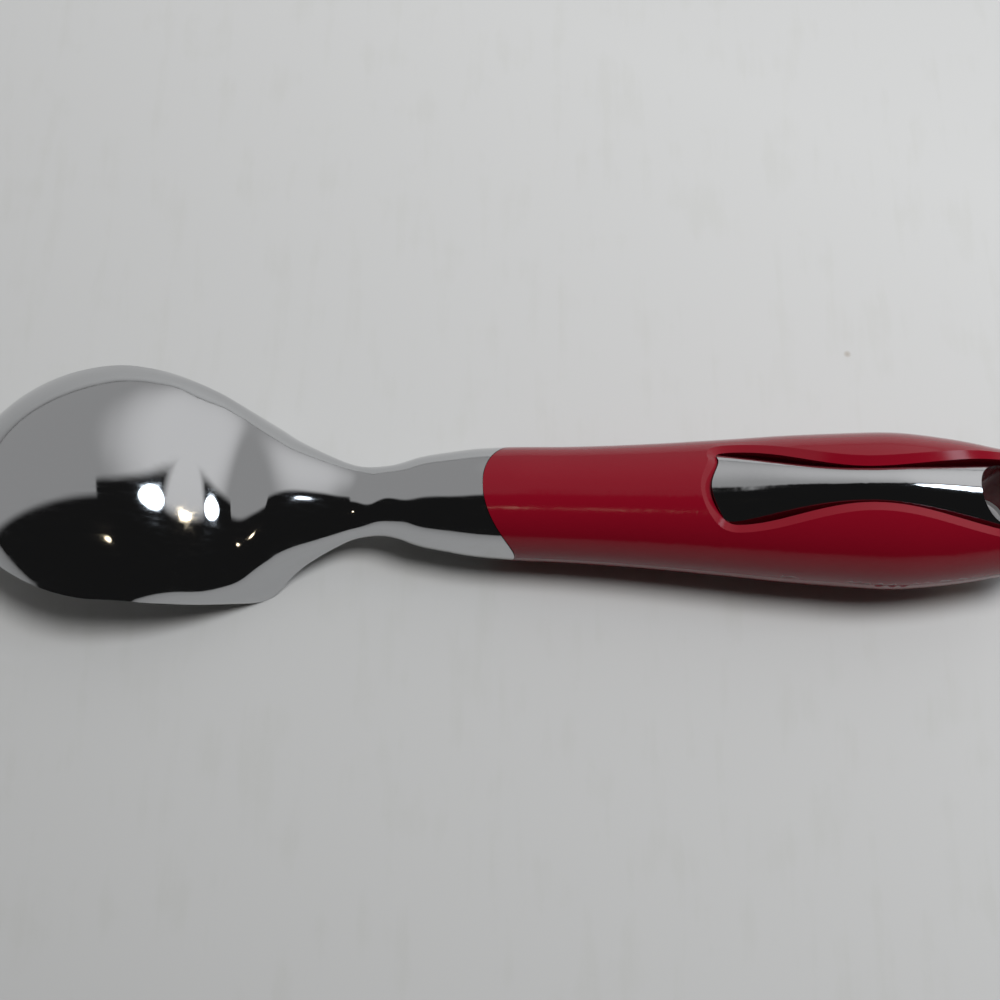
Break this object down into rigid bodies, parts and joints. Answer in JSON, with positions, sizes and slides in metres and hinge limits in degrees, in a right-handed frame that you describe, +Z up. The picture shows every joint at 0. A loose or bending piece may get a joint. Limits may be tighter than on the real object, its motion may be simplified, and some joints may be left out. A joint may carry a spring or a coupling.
{
  "type": "ice cream scoop",
  "caption": "One-piece hand scoop with an oval chrome bowl, pinched neck and glossy red two-shell grip that has chrome inlays and a hang hole.",
  "frame": {"origin": "on the surface that the scoop rests on, under the middle of its length and width", "axes": "+X along the handle from the bowl tip to the tail, +Y across, +Z up through the back of the bowl"},
  "size_m": [0.2186, 0.0494, 0.0312],
  "materials": {
    "chrome": "polished chrome plating with light wear",
    "red_plastic": "glossy deep red",
    "steel": "plain"
  },
  "bodies": {
    "root": {"scoop_head": "chrome", "upper_inlay": "chrome", "lower_inlay": "chrome", "upper_grip_shell": "red_plastic", "lower_grip_shell": "red_plastic", "front_shank_screw": "steel", "rear_shank_screw": "steel", "tail_screw": "steel"}
  },
  "joints": []
}
